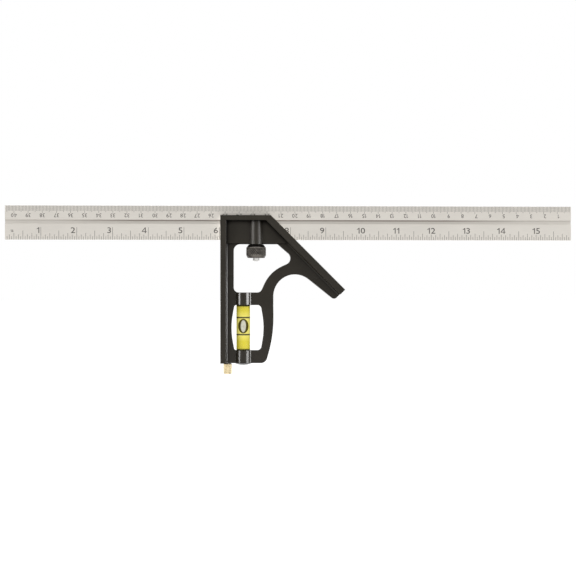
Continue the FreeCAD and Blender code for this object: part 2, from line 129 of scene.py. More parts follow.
# Lock nut: a diamond knurl between two cones, and a pocket in its top for the spring's foot.
NUT_BORE = 2.56 * MM
NUT_POCKET = 3.65 * MM
NUT_POCKET_DEPTH = 3.25 * MM
NUT_EASE = 0.15 * MM
TOP_CONE = 2.2 * MM
TOP_CONE_INSET = 1.7 * MM
FOOT_CONE = 1.8 * MM
FOOT_CONE_INSET = 0.9 * MM
KNURL_COUNT = 27
KNURL_DEPTH = 0.5 * MM
KNURL_EDGE_DEPTH = 0.1 * MM
KNURL_FADE = 0.5 * MM
KNURL_ROWS = 34
KNURL_LEAD = 1.15
KNURL_STEEPNESS = 1.25

# Draw bolt: the cut thread and the chamfer at its foot.
THREAD_PITCH = 0.8 * MM
THREAD_DEPTH = 0.22 * MM
THREAD_STEEPNESS = 1.15
THREAD_ROWS_PER_TURN = 12
BOLT_COLUMNS = 48
BOLT_CHAMFER = 0.6 * MM

# Spirit level: the liquid and bubble are as wide as the clear tube's wall makes them look.
# The opening is the one in the head through which the tube is seen.
VIAL_COLUMNS = 64
LINE_OFFSET = 6.1 * MM
LINE_HALF = 0.48 * MM
LINE_SUNK = 0.01 * MM
LINE_PROUD = 0.02 * MM
LIQUID_RADIUS = TUBE.radius - 0.12 * MM
LIQUID_EASE = 0.5 * MM
LIQUID_EASE_MIDDLE = 0.15 * MM
BUBBLE_HALF_WIDTH = 3.7 * MM
BUBBLE_HALF_LENGTH = 5.2 * MM
BUBBLE_PALE_HALF_WIDTH = 1.95 * MM
BUBBLE_PALE_HALF_LENGTH = 4.4 * MM
BUBBLE_DEPTH = 2.4 * MM
BUBBLE_FILM = 0.03 * MM
BUBBLE_RINGS = 14
BUBBLE_COLUMNS = 56
OPENING_MIDDLE = -62.8 * MM
OPENING_HALF = 16.2 * MM

# Scriber knob: straight flutes that run out into chamfers, and the socket for the needle.
FLUTES = 26
FLUTE_DEPTH = 0.22 * MM
FLUTE_STEEPNESS = 1.6
FLUTE_RUN_OUT = 0.3 * MM
KNOB_CHAMFER = 0.5 * MM
KNOB_EASE = 0.08 * MM
NEEDLE_RADIUS = 0.8 * MM
NEEDLE_SOCKET_RISE = 2.0 * MM

# Mesh making. A flat end narrows to a small disc in its middle.
COLUMNS_PER_RIDGE = 8
END_DISC = 0.3 * MM
WELD = 0.001 * MM
CAD_WELD = 0.0001 * MM
SMOOTH_ANGLE = math.radians(32)

# Finishes. A pair is where a change along a piece starts and where it is complete.
FINE_RELIEF = 0.01 * MM
PEEL_RELIEF = 0.02 * MM
CASTING_EDGE = 0.5 * MM
BLADE_EDGE = 0.12 * MM
CORNER_REACH = 4 * MM
SKIN_DEPTH = 0.05 * MM
SAME_FACING = 0.999
UPPER_COAT = (-34 * MM, -4 * MM)
GROOVE_MARGIN = 0.02 * MM
# The groove's painted shadow: where it grows below the groove's top, and where it fades along the blade.
GROOVE_SHADOW_SPAN = (GROOVE_TOP - 1.3 * MM, GROOVE_TOP - 0.5 * MM)
GROOVE_SHADOW_FADE = (110 * MM, 170 * MM)
# Nut: crests rubbed bright with painted glints on them, and a painted sheen on its foot.
CREST_RUB_AND_GLINT = (NUT.radius - 0.3 * MM, NUT.radius)
FOOT_SHEEN = (NUT.foot + 1.6 * MM, NUT.foot + 2.0 * MM)
DEEPER_TINT = (LINE_OFFSET, LINE_OFFSET + 5 * MM)
SOCKET_SHADE = (OPENING_HALF - 1.3 * MM, OPENING_HALF - 0.7 * MM)

# Camera, floor and lights. The lens and its sensor are in millimetres. A lamp's size is its width
# and height, and its power is in watts. SIDES is how far out along X the lamps of each side stand.
CAMERA_PLACE = Vector((7.0 * MM, -970.0 * MM, -34.4 * MM))
CAMERA_YAW = math.radians(2.45)
CAMERA_LENS = 84.5
CAMERA_SENSOR = 36.0
FLOOR_HALF = 12.0
FLOOR_GAP = 5 * MM
AMBIENT_LIGHT = 0.60
SIDES = (("left", -1.32), ("right", 1.36))
SIDE_LAMP_HEIGHT = -30 * MM
TOP_LAMP_PLACE = (0.05, -0.45, 1.25)
TOP_LAMP_SIZE = (1.4, 0.45)
TOP_LAMP_POWER = 12.0


# ---------------------------------------------------------------- node material helpers

class Shader:
    """A material's node tree, with short calls for the nodes that the finishes share."""

    def __init__(self, name):
        self.material = bpy.data.materials.new(name)
        self.material.use_nodes = True
        self.tree = self.material.node_tree
        self.tree.nodes.clear()
        self.output = self.tree.nodes.new("ShaderNodeOutputMaterial")

    def node(self, kind, **settings):
        made = self.tree.nodes.new(kind)
        for key, setting in settings.items():
            setattr(made, key, setting)
        return made

    def link(self, source, target):
        self.tree.links.new(source, target)

    def place(self, stretch=(1, 1, 1)):
        """Object coordinates, stretched so that a pattern can run along one axis."""
        coordinates = self.node("ShaderNodeTexCoord")
        mapping = self.node("ShaderNodeMapping")
        mapping.inputs["Scale"].default_value = stretch
        self.link(coordinates.outputs["Object"], mapping.inputs["Vector"])
        return mapping.outputs["Vector"]

    def axes(self):
        """Object coordinates one by one, as ["X"], ["Y"] and ["Z"]."""
        separate = self.node("ShaderNodeSeparateXYZ")
        self.link(self.place(), separate.inputs["Vector"])
        return separate.outputs

    def noise(self, place, scale, detail=3.0, roughness=0.55):
        texture = self.node("ShaderNodeTexNoise")
        texture.inputs["Scale"].default_value = scale
        texture.inputs["Detail"].default_value = detail
        texture.inputs["Roughness"].default_value = roughness
        self.link(place, texture.inputs["Vector"])
        return texture.outputs["Fac"]

    def span(self, source, low, high, start=0.0, end=1.0):
        """Carries source from the range start..end to low..high, held at both ends."""
        ranger = self.node("ShaderNodeMapRange")
        ranger.inputs["From Min"].default_value = start
        ranger.inputs["From Max"].default_value = end
        ranger.inputs["To Min"].default_value = low
        ranger.inputs["To Max"].default_value = high
        self.link(source, ranger.inputs["Value"])
        return ranger.outputs["Result"]

    def math(self, operation, *operands):
        """One step of arithmetic on one or two operands, each a number or another node's value."""
        made = self.node("ShaderNodeMath", operation=operation)
        for socket, operand in zip(made.inputs, operands):
            if isinstance(operand, (int, float)):
                socket.default_value = operand
            else:
                self.link(operand, socket)
        return made.outputs["Value"]

    def product(self, first, *others):
        for other in others:
            first = self.math("MULTIPLY", first, other)
        return first

    def distance(self, source, centre):
        """How far source is from centre, on either side."""
        return self.math("ABSOLUTE", self.math("SUBTRACT", source, centre))

    def hypotenuse(self, first, second):
        """The long side of a right triangle, from its two short sides."""
        squares = self.product(first, first), self.product(second, second)
        return self.math("SQRT", self.math("ADD", *squares))

    def blend(self, share, first, second):
        """Mixes two colours, each a tuple or another node's colour."""
        mixer = self.node("ShaderNodeMix", data_type="RGBA")
        self.link(share, mixer.inputs["Factor"])
        for socket, colour in ((mixer.inputs[6], first), (mixer.inputs[7], second)):
            if isinstance(colour, tuple):
                socket.default_value = (*colour, 1.0)
            else:
                self.link(colour, socket)
        return mixer.outputs[2]

    def mix(self, share, first, second):
        """Mixes two nodes' values."""
        mixer = self.node("ShaderNodeMix", data_type="FLOAT")
        self.link(share, mixer.inputs["Factor"])
        self.link(first, mixer.inputs[2])
        self.link(second, mixer.inputs[3])
        return mixer.outputs[0]

    def bump(self, height, distance, strength, normal=None):
        bumper = self.node("ShaderNodeBump")
        bumper.inputs["Distance"].default_value = distance
        bumper.inputs["Strength"].default_value = strength
        self.link(height, bumper.inputs["Height"])
        if normal is not None:
            self.link(normal, bumper.inputs["Normal"])
        return bumper.outputs["Normal"]

    def openness(self, reach, low, high):
        """0 deep in an inner corner, 1 on open skin."""
        corner = self.node("ShaderNodeAmbientOcclusion", samples=8, only_local=True)
        corner.inputs["Distance"].default_value = reach
        return self.span(corner.outputs["AO"], 0.0, 1.0, low, high)

    def soft_edges(self, radius):
        bevel = self.node("ShaderNodeBevel", samples=6)
        bevel.inputs["Radius"].default_value = radius
        return bevel.outputs["Normal"]

    def surface(self, **inputs):
        """The principled surface. Underscores in a name stand for spaces."""
        principled = self.node("ShaderNodeBsdfPrincipled")
        for key, setting in inputs.items():
            socket = principled.inputs[key.replace("_", " ")]
            if isinstance(setting, bpy.types.NodeSocket):
                self.link(setting, socket)
            elif isinstance(setting, tuple):
                socket.default_value = (*setting, 1.0)
            else:
                socket.default_value = setting
        self.link(principled.outputs["BSDF"], self.output.inputs["Surface"])
        return self.material


# ---------------------------------------------------------------- finishes

# Colours are linear red, green and blue, and a noise's scale is in patches to the metre.

def machined_mask(shader):
    """1 on the head's two ground reference faces, 0 on its coated skin."""
    geometry = shader.node("ShaderNodeNewGeometry")
    place = shader.axes()
    along_mitre = shader.math("ADD", place["X"], place["Z"])
    faces = (
        (Vector((-1, 0, 0)), shader.math("LESS_THAN", place["X"], SKIN_DEPTH)),
        (Vector((1, 0, 1)).normalized(), shader.math("GREATER_THAN", along_mitre, MITRE_LINE - SKIN_DEPTH)),
    )
    masks = []
    for facing, at_face in faces:
        likeness = shader.node("ShaderNodeVectorMath", operation="DOT_PRODUCT")
        shader.link(geometry.outputs["True Normal"], likeness.inputs[0])
        likeness.inputs[1].default_value = facing
        same = shader.math("GREATER_THAN", likeness.outputs["Value"], SAME_FACING)
        masks.append(shader.product(same, at_face))
    return shader.math("MAXIMUM", *masks)


def head_finish():
    """Satin black coating with a fine orange peel, bare ground metal on the two faces.

    The coating is a little paler, rougher and duller around the lock than around the vial, and painted
    almost black deep in inner corners as shade.
    """
    shader = Shader("head_coating")
    peel = shader.noise(shader.place(), 1400.0, 2.0)
    cloud = shader.noise(shader.place(), 60.0, 3.0)
    grind = shader.noise(shader.place((1.0, 40.0, 1.0)), 260.0, 2.0)
    bare = machined_mask(shader)
    unshaded_skin = shader.openness(CORNER_REACH, 0.50, 0.90)
    upper = shader.span(shader.axes()["Z"], 0.0, 1.0, *UPPER_COAT)
    low_coat = shader.blend(cloud, (0.0120, 0.0096, 0.0058), (0.0185, 0.0150, 0.0096))
    high_coat = shader.blend(cloud, (0.0160, 0.0136, 0.0098), (0.0225, 0.0190, 0.0136))
    # Painted shade: the coat's colour falls to near black where an inner corner is close, and its gloss
    # falls with it.
    coat = shader.blend(unshaded_skin, (0.0020, 0.0016, 0.0012), shader.blend(upper, low_coat, high_coat))
    metal = shader.blend(grind, (0.36, 0.35, 0.34), (0.56, 0.55, 0.53))
    cloudy = shader.span(cloud, 0.18, 0.25, 0.3, 0.7)
    coat_roughness = shader.math("ADD", cloudy, shader.span(upper, 0.0, 0.22))
    gloss = shader.product(shader.span(unshaded_skin, 0.05, 0.24), shader.span(upper, 1.0, 0.48))
    relief = shader.blend(bare, peel, grind)
    return shader.surface(
        Base_Color=shader.blend(bare, coat, metal),
        Metallic=bare,
        Roughness=shader.mix(bare, coat_roughness, shader.span(grind, 0.24, 0.40)),
        Specular_IOR_Level=gloss,
        Normal=shader.bump(relief, PEEL_RELIEF, 0.18, shader.soft_edges(CASTING_EDGE)),
    )


def groove_shadow(shader):
    """Painted shadow in the blade's groove: most under its upper wall, less towards the blade's ends."""
    place = shader.axes()
    below_wall = shader.span(place["Z"], 0.30, 1.0, *GROOVE_SHADOW_SPAN)
    under_edge = shader.math("LESS_THAN", place["Z"], GROOVE_TOP + GROOVE_MARGIN)
    inside = shader.math("GREATER_THAN", place["Y"], BLADE_LOW.y + GROOVE_MARGIN)
    in_front = shader.math("LESS_THAN", place["Y"], 0.0)
    along = shader.distance(place["X"], (BLADE_LOW.x + BLADE_HIGH.x) / 2)
    towards_ends = shader.span(along, 1.0, 0.35, *GROOVE_SHADOW_FADE)
    return shader.product(below_wall, under_edge, towards_ends, inside, in_front)


def blade_finish():
    """Satin stainless steel with a fine grain along the blade."""
    shader = Shader("blade_steel")
    grain = shader.noise(shader.place((2.0, 60.0, 90.0)), 55.0, 4.0, 0.65)
    cloud = shader.noise(shader.place((1.0, 1.0, 3.0)), 22.0, 3.0)
    tone = shader.blend(grain, (0.57, 0.543, 0.498), (0.735, 0.70, 0.645))
    shade = shader.blend(shader.span(cloud, 0.0, 0.25, 0.35, 0.7), tone, (0.53, 0.503, 0.465))
    return shader.surface(
        # Painted shadow: the groove mask darkens the steel's colour under the groove's upper wall.
        Base_Color=shader.blend(groove_shadow(shader), shade, (0.24, 0.21, 0.185)),
        Metallic=0.85,
        Roughness=shader.span(grain, 0.36, 0.52),
        Normal=shader.bump(grain, FINE_RELIEF, 0.25, shader.soft_edges(BLADE_EDGE)),
    )


def mark_finish():
    """The grey of etched and darkened graduations."""
    shader = Shader("etched_marks")
    fleck = shader.noise(shader.place(), 900.0, 2.0)
    return shader.surface(
        Base_Color=shader.blend(fleck, (0.055, 0.050, 0.046), (0.095, 0.088, 0.081)),
        Metallic=0.2,
        Roughness=0.6,
    )


def metal_finish(name, dark, light, roughness, grain_stretch=(1, 1, 1), grain_scale=400.0):
    """Turned or plated metal whose tone and roughness vary a little with its grain."""
    shader = Shader(name)
    grain = shader.noise(shader.place(grain_stretch), grain_scale, 3.0)
    cloud = shader.noise(shader.place(), 150.0, 2.0)
    tone = shader.blend(grain, dark, light)
    return shader.surface(
        Base_Color=shader.blend(shader.span(cloud, 0.0, 0.4, 0.4, 0.8), tone, dark),
        Metallic=1.0,
        Roughness=shader.span(grain, roughness - 0.06, roughness + 0.08),
        Normal=shader.bump(grain, FINE_RELIEF, 0.2),
    )


def nut_finish():
    """Black oxide rubbed bright on the knurl's crests, which also carry painted glints, and a painted sheen
    on the nut's foot.
    """
    shader = Shader("nut_oxide")
    place = shader.axes()
    radius = shader.hypotenuse(shader.math("SUBTRACT", place["X"], NUT.axis), place["Y"])
    fleck = shader.noise(shader.place(), 1100.0, 3.0)
    crest = shader.span(radius, 0.0, 1.0, *CREST_RUB_AND_GLINT)
    crest_rub_and_glint = shader.product(crest, shader.span(fleck, 0.25, 0.85, 0.3, 0.6))
    # Painted sheen: the foot's cone gets a brighter colour that stands for the lamps' glints on it.
    rub_and_sheen = shader.math("MAXIMUM", crest_rub_and_glint, shader.span(place["Z"], 0.27, 0.0, *FOOT_SHEEN))
    return shader.surface(
        Base_Color=shader.blend(rub_and_sheen, (0.016, 0.014, 0.012), (0.34, 0.31, 0.27)),
        Metallic=0.8,
        Roughness=shader.span(fleck, 0.30, 0.48),
        Normal=shader.bump(fleck, FINE_RELIEF, 0.3),
    )


def plastic_finish(name, dark, light, roughness):
    """Smooth plastic or ink with a faint fleck."""
    shader = Shader(name)
    fleck = shader.noise(shader.place(), 800.0, 3.0)
    return shader.surface(
        Base_Color=shader.blend(fleck, dark, light),
        Roughness=shader.span(fleck, roughness - 0.04, roughness + 0.06),
        Normal=shader.bump(fleck, FINE_RELIEF, 0.15),
    )


def tube_finish():
    """Clear acrylic: light goes through with a bright edge and a soft reflection."""
    shader = Shader("vial_clear")
    facing = shader.node("ShaderNodeLayerWeight")
    facing.inputs["Blend"].default_value = 0.35
    edge = shader.span(facing.outputs["Facing"], 0.0, 1.0, 0.2, 0.8)
    clear = shader.node("ShaderNodeBsdfTransparent")
    shader.link(shader.blend(edge, (0.99, 0.99, 0.96), (0.80, 0.78, 0.40)), clear.inputs["Color"])
    haze = shader.noise(shader.place(), 300.0, 2.0)
    skin = shader.node("ShaderNodeBsdfPrincipled")
    skin.inputs["Base Color"].default_value = (0.72, 0.69, 0.30, 1.0)
    skin.inputs["IOR"].default_value = 1.49
    shader.link(shader.span(haze, 0.03, 0.08), skin.inputs["Roughness"])
    mixer = shader.node("ShaderNodeMixShader")
    shader.link(shader.span(facing.outputs["Facing"], 0.01, 0.55, 0.45, 1.0), mixer.inputs["Fac"])
    shader.link(clear.outputs["BSDF"], mixer.inputs[1])
    shader.link(skin.outputs["BSDF"], mixer.inputs[2])
    shader.link(mixer.outputs["Shader"], shader.output.inputs["Surface"])
    return shader.material


def fluid_finish():
    """Tinted spirit: paler where the bubble rests, deeper beyond, painted shade at the sockets, and a faint
    painted glow.
    """
    shader = Shader("vial_liquid")
    height = shader.axes()["Z"]
    depth = shader.span(shader.distance(height, BUBBLE.middle), 0.0, 1.0, *DEEPER_TINT)
    drift = shader.noise(shader.place(), 160.0, 2.0)
    tone = shader.blend(depth, (0.72, 0.65, 0.18), (0.60, 0.52, 0.055))
    colour = shader.blend(shader.span(drift, 0.0, 0.25, 0.3, 0.7), tone, (0.70, 0.63, 0.12))
    # Painted shade where the spirit goes into the sockets.
    shaded = shader.span(shader.distance(height, OPENING_MIDDLE), 0.0, 1.0, *SOCKET_SHADE)
    colour = shader.blend(shaded, colour, (0.030, 0.027, 0.004))
    return shader.surface(
        Base_Color=colour,
        Roughness=0.16,
        IOR=1.36,
        Specular_IOR_Level=0.1,
        # Painted glow: the spirit gives off a little of its own colour although it is no lamp.
        Emission_Color=colour,
        Emission_Strength=0.10,
    )


def bubble_finish():
    """Painted look of the bubble: a pale middle inside a dark rim painted as its refraction, broader at the
    sides.
    """
    shader = Shader("vial_air")
    place = shader.axes()
    across = shader.math("SUBTRACT", place["X"], TUBE.axis)
    along = shader.math("SUBTRACT", place["Z"], BUBBLE.middle)
    across = shader.math("DIVIDE", across, BUBBLE_PALE_HALF_WIDTH)
    along = shader.math("DIVIDE", along, BUBBLE_PALE_HALF_LENGTH)
    # Painted light: the dark rim and the pale middle stand for light bent at the bubble's edge and let
    # through its middle.
    rim = shader.span(shader.hypotenuse(across, along), 0.0, 1.0, 0.90, 1.04)
    haze = shader.noise(shader.place(), 500.0, 2.0)
    pale = shader.blend(shader.span(haze, 0.0, 1.0, 0.3, 0.7), (0.46, 0.455, 0.43), (0.60, 0.595, 0.57))
    colour = shader.blend(rim, pale, (0.055, 0.044, 0.002))
    return shader.surface(Base_Color=colour, Roughness=0.3, Specular_IOR_Level=0.05)


# ---------------------------------------------------------------- mesh helpers

def new_piece(name, vertices, faces, material, body, stands_for=None, smooth=True):
    """A piece with welded corners, facing outwards, that rides on a body."""
    mesh = bpy.data.meshes.new(name)
    mesh.from_pydata([tuple(v) for v in vertices], [], faces)
    mesh.validate()
    shaped = bmesh.new()
    shaped.from_mesh(mesh)
    bmesh.ops.remove_doubles(shaped, verts=shaped.verts, dist=WELD)
    bmesh.ops.recalc_face_normals(shaped, faces=shaped.faces)
    shaped.to_mesh(mesh)
    shaped.free()
    if smooth:
        mesh.shade_smooth()
        mesh.set_sharp_from_angle(angle=SMOOTH_ANGLE)
    piece = bpy.data.objects.new(name, mesh)
    piece.data.materials.append(material)
    bpy.context.scene.collection.objects.link(piece)
    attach(piece, body)
    if stands_for:
        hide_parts(stands_for)


def ring_of(centre_x, radius_at, rows, columns):
    """Points of a surface of rows around a vertical axis. radius_at(angle, row) -> (r, z)."""
    points = []
    for row in range(rows):
        for column in range(columns):
            angle = 2 * math.pi * column / columns
            radius, z = radius_at(angle, row)
            points.append((centre_x + radius * math.cos(angle), radius * math.sin(angle), z))
    return points


def ring_faces(rows, columns, closed=False):
    """Quads between neighbouring rows. closed joins the last row to the first."""
    faces = []
    for row in range(rows if closed else rows - 1):
        below = row * columns
        above = (row + 1) % rows * columns
        for column in range(columns):
            after = (column + 1) % columns
            faces.append((below + column, below + after, above + after, above + column))
    return faces


def capped_faces(rows, columns):
    """Quads between neighbouring rows, with the first and the last row filled."""
    last = (rows - 1) * columns
    caps = [tuple(reversed(range(columns))), tuple(range(last, last + columns))]
    return ring_faces(rows, columns) + caps


def saw(turns):
    """A ridge that rises from 0 to 1 and falls back once in each turn."""
    return 1 - abs(2 * (turns % 1.0) - 1)


def valley(ridge, steepness):
    """1 at the foot of a ridge and 0 on its crest, which is flat where the sides are steep."""
    return 1 - min(1.0, ridge * steepness)


def repaint(node, material):
    piece = frame["nodes"][node]
    piece.data.materials.clear()
    piece.data.materials.append(material)


# ---------------------------------------------------------------- figures

# The built-in font's one has no flag and its four fills in at this size, so these two are drawn.
# Each is its corners, one unit high, and the flat faces between them.
ONE = (
    (
        (0.24, 0.0), (0.37, 0.0), (0.37, 1.0), (0.27, 1.0),
        (0.16, 0.87), (0.0, 0.78), (0.0, 0.66), (0.24, 0.76),
    ),
    ((0, 1, 2, 3, 4, 5, 6, 7),),
)
FOUR = (
    (
        (0.43, 0.0), (0.56, 0.0), (0.56, 0.22), (0.70, 0.22), (0.70, 0.33), (0.56, 0.33), (0.56, 1.0),
        (0.45, 1.0), (0.0, 0.35), (0.0, 0.22), (0.43, 0.22), (0.43, 0.33), (0.13, 0.33), (0.43, 0.78),
    ),
    ((0, 1, 2, 3, 4, 5, 6, 7, 13, 11, 10), (7, 8, 9, 10, 11, 12, 13)),
)
DRAWN_FIGURES = {"1": ONE, "4": FOUR}

# The font's figures: how far each outline is thickened, how finely it is stepped and welded.
FONT_THICKENING = 0.006
FONT_STEPS = 3
FONT_WELD = 0.002

DIGITS = {}


def drawn_figure(corners, faces):
    """The points, faces and width of a plate with walls round its outline."""
    count = len(corners)
    points = [Vector((x, y, z)) for z in (-0.5, 0.5) for x, y in corners]
    solid = [tuple(reversed(face)) for face in faces]
    solid += [tuple(i + count for i in face) for face in faces]
    edges = [(face[i - 1], face[i]) for face in faces for i in range(len(face))]
    for a, b in edges:
        if (b, a) not in edges:
            solid.append((a, b, b + count, a + count))
    return points, solid, max(x for x, y in corners)


def font_figure(digit):
    """The points, faces and width of a plate in the shape of the built-in font's digit."""
    curve = bpy.data.curves.new("digit", "FONT")
    curve.body = digit
    curve.resolution_u = FONT_STEPS
    curve.extrude = 0.5
    curve.offset = FONT_THICKENING
    text = bpy.data.objects.new("digit", curve)
    bpy.context.scene.collection.objects.link(text)
    graph = bpy.context.evaluated_depsgraph_get()
    mesh = bpy.data.meshes.new_from_object(text.evaluated_get(graph))
    shaped = bmesh.new()
    shaped.from_mesh(mesh)
    bmesh.ops.remove_doubles(shaped, verts=shaped.verts, dist=FONT_WELD)
    bmesh.ops.dissolve_degenerate(shaped, edges=shaped.edges, dist=FONT_WELD)
    bmesh.ops.recalc_face_normals(shaped, faces=shaped.faces)
    shaped.verts.index_update()
    points = [v.co.copy() for v in shaped.verts]
    faces = [tuple(v.index for v in face.verts) for face in shaped.faces]
    shaped.free()
    bpy.data.objects.remove(text)
    bpy.data.curves.remove(curve)
    bpy.data.meshes.remove(mesh)
    left, foot = min(p.x for p in points), min(p.y for p in points)
    tall = max(p.y for p in points) - foot
    points = [Vector(((p.x - left) / tall, (p.y - foot) / tall, p.z)) for p in points]
    return points, faces, max(p.x for p in points)


def digit_shape(digit):
    """One digit as a plate one unit high, standing on the baseline at x = 0, made once."""
    if digit not in DIGITS:
        drawn = DRAWN_FIGURES.get(digit)
        DIGITS[digit] = drawn_figure(*drawn) if drawn else font_figure(digit)
    return DIGITS[digit]


# ---------------------------------------------------------------- blade graduations

class Scale:
    """Graduations on one face of the blade: u runs along it, v up it and w out of it."""

    def __init__(self, back):
        if back:
            directions = Vector((-1, 0, 0)), Vector((0, 0, 1)), Vector((0, 1, 0))
            origin = Vector((BLADE_HIGH.x, BLADE_HIGH.y, BLADE_LOW.z))
        else:
            directions = Vector((1, 0, 0)), Vector((0, 0, 1)), Vector((0, -1, 0))
            origin = BLADE_LOW
        self.placing = Matrix(directions).transposed().to_4x4()
        self.placing.translation = origin
        self.vertices = []
        self.faces = []

    def add(self, points, faces):
        start = len(self.vertices)
        self.vertices += [self.placing @ point for point in points]
        self.faces += [tuple(start + i for i in face) for face in faces]

    def tick(self, u, low, high, width):
        left, right = u - width / 2, u + width / 2
        corners = [(left, low), (right, low), (right, high), (left, high)]
        points = [Vector((*corner, w)) for w in (-MARK_SUNK, MARK_PROUD) for corner in corners]
        sides = [(i, (i + 1) % 4, (i + 1) % 4 + 4, i + 4) for i in range(4)]
        self.add(points, [(3, 2, 1, 0), (4, 5, 6, 7)] + sides)

    def label(self, text, u, v, height, turned=False, centred=True, stretch=1.0):
        """Digits of one height. They are centred on u, or end at u."""
        shapes = [digit_shape(digit) for digit in text]
        width = sum(shape[2] for shape in shapes) + DIGIT_GAP * (len(shapes) - 1)
        cursor = -width / 2 if centred else -width
        flip = -1 if turned else 1
        for points, faces, digit_width in shapes:
            placed = []
            for point in points:
                across = (cursor + point.x) * height * stretch * flip
                upward = point.y * height
                upward = height - upward if turned else upward
                out = MARK_PROUD if point.z > 0 else -MARK_SUNK
                placed.append(Vector((u + across, v + upward, out)))
            self.add(placed, faces)
            cursor += digit_width + DIGIT_GAP

    def finish(self, name, material):
        new_piece(name, self.vertices, self.faces, material, "blade", smooth=False)


def mark_length(i, lengths):
    """The length of mark number i, from the first pair whose step divides it."""
    return next(length for step, length in lengths if i % step == 0)


def inch_scale(name, back, parts, lengths, material):
    """Inches from the left end along the lower edge, parted as many times as parts says.

    A number stands to the left of its inch mark. From 10 on it stands above a shorter mark.
    """
    scale = Scale(back)
    inches = round(BLADE_LENGTH / INCH)
    for i in range(1, inches * parts):
        u = i * INCH / parts
        whole = i % parts == 0
        wide_label = whole and i // parts >= 10
        length = INCH_LABEL_FOOT - INCH_LABEL_ABOVE if wide_label else mark_length(i, lengths)
        scale.tick(u, EDGE_GAP, length, INCH_TICK_WIDTH)
        if whole:
            scale.label(
                str(i // parts),
                u if wide_label else u - INCH_LABEL_BESIDE,
                INCH_LABEL_FOOT,
                INCH_LABEL_HEIGHT,
                centred=wide_label,
                stretch=INCH_LABEL_STRETCH,
            )
    scale.label(str(parts), PARTS_LABEL_PLACE, PARTS_LABEL_FOOT, PARTS_LABEL_HEIGHT)
    scale.finish(name, material)


def metric_scale(name, back, material):
    """Millimetres from the right end along the upper edge, read from the other side.

    A number is centred on its centimetre's mark. Below 10 it stands a little to one side.
    """
    scale = Scale(back)
    top = BLADE_HEIGHT - EDGE_GAP
    for i in range(1, int(BLADE_LENGTH / MM)):
        u = BLADE_LENGTH - i * MM
        scale.tick(u, top - mark_length(i, MILLIMETRES), top, METRIC_TICK_WIDTH)
        if i % 10 == 0:
            centimetres = i // 10
            place = u if centimetres >= 10 else u + METRIC_LABEL_BESIDE
            scale.label(str(centimetres), place, METRIC_LABEL_FOOT, METRIC_LABEL_HEIGHT, turned=True)
    scale.finish(name, material)


def make_graduations():
    marks = mark_finish()
    inch_scale("front_inch_scale", False, 16, SIXTEENTHS, marks)
    metric_scale("front_metric_scale", False, marks)
    inch_scale("back_inch_scale", True, 8, EIGHTHS, marks)
    metric_scale("back_metric_scale", True, marks)


# ---------------------------------------------------------------- lock

def make_lock_nut():
    """A diamond knurled nut with a plain cone at each end and a pocket in its top.

    Each row is its radius and height. A row with no radius of its own is part of the knurl.
    """
    knurl_foot = NUT.foot + FOOT_CONE
    knurl_top = NUT.top - TOP_CONE
    knurl_step = (knurl_top - knurl_foot) / KNURL_ROWS
    rows = [
        (NUT_BORE, NUT.top - NUT_POCKET_DEPTH),
        (NUT_POCKET, NUT.top - NUT_POCKET_DEPTH),
        (NUT_POCKET, NUT.top),
        (NUT.radius - TOP_CONE_INSET - NUT_EASE, NUT.top),
        (NUT.radius - TOP_CONE_INSET, NUT.top - NUT_EASE),
    ]
    rows += [(None, knurl_top - knurl_step * i) for i in range(KNURL_ROWS + 1)]
    rows += [
        (NUT.radius - FOOT_CONE_INSET, NUT.foot + NUT_EASE),
        (NUT.radius - FOOT_CONE_INSET - NUT_EASE, NUT.foot),
        (NUT_BORE, NUT.foot),
    ]
    lead = 2 * math.pi * NUT.radius / KNURL_COUNT * KNURL_LEAD

    def radius_at(angle, row):
        radius, z = rows[row]
        if radius is not None:
            return radius, z
        turns = angle * KNURL_COUNT / (2 * math.pi)
        diamond = min(saw(turns + z / lead), saw(turns - z / lead))
        cut = KNURL_DEPTH * valley(diamond, KNURL_STEEPNESS)
        fade = min(1.0, (knurl_top - z) / KNURL_FADE, (z - knurl_foot) / KNURL_FADE)
        return NUT.radius - cut * fade - KNURL_EDGE_DEPTH * (1 - fade), z

    columns = KNURL_COUNT * COLUMNS_PER_RIDGE
    points = ring_of(NUT.axis, radius_at, len(rows), columns)
    faces = ring_faces(len(rows), columns, closed=True)
    new_piece("knurled_nut", points, faces, nut_finish(), "lock_nut", "lock_nut")


def make_lock_bolt(material):
    """The draw bolt: the CAD piece above the boss's foot, a cut thread below it."""
    thread_top = NUT.top
    thread_length = thread_top - BOLT.foot
    shape = bmesh.new()
    shape.from_mesh(frame["nodes"]["lock_bolt"].data)
    bmesh.ops.remove_doubles(shape, verts=shape.verts, dist=CAD_WELD)
    everything = shape.verts[:] + shape.edges[:] + shape.faces[:]
    cut = bmesh.ops.bisect_plane(
        shape, geom=everything, plane_co=(0, 0, thread_top), plane_no=(0, 0, 1), clear_inner=True
    )
    rim = [item for item in cut["geom_cut"] if isinstance(item, bmesh.types.BMEdge)]
    bmesh.ops.holes_fill(shape, edges=rim)
    rows = int(thread_length / THREAD_PITCH * THREAD_ROWS_PER_TURN)

    def radius_at(angle, row):
        rise = thread_length * row / (rows - 1)
        z = BOLT.foot + rise
        ridge = saw(z / THREAD_PITCH - angle / (2 * math.pi))
        thread = BOLT.radius - THREAD_DEPTH * valley(ridge, THREAD_STEEPNESS)
        return min(thread, BOLT.radius - BOLT_CHAMFER + rise), z

    points = ring_of(BOLT.axis, radius_at, rows, BOLT_COLUMNS)
    made = [shape.verts.new(point) for point in points]
    for face in capped_faces(rows, BOLT_COLUMNS):
        shape.faces.new([made[i] for i in face])
    shape.verts.index_update()
    vertices = [v.co.copy() for v in shape.verts]
    faces = [tuple(v.index for v in face.verts) for face in shape.faces]
    shape.free()
    new_piece("threaded_bolt", vertices, faces, material, "lock_bolt", "lock_bolt")


# ---------------------------------------------------------------- vial

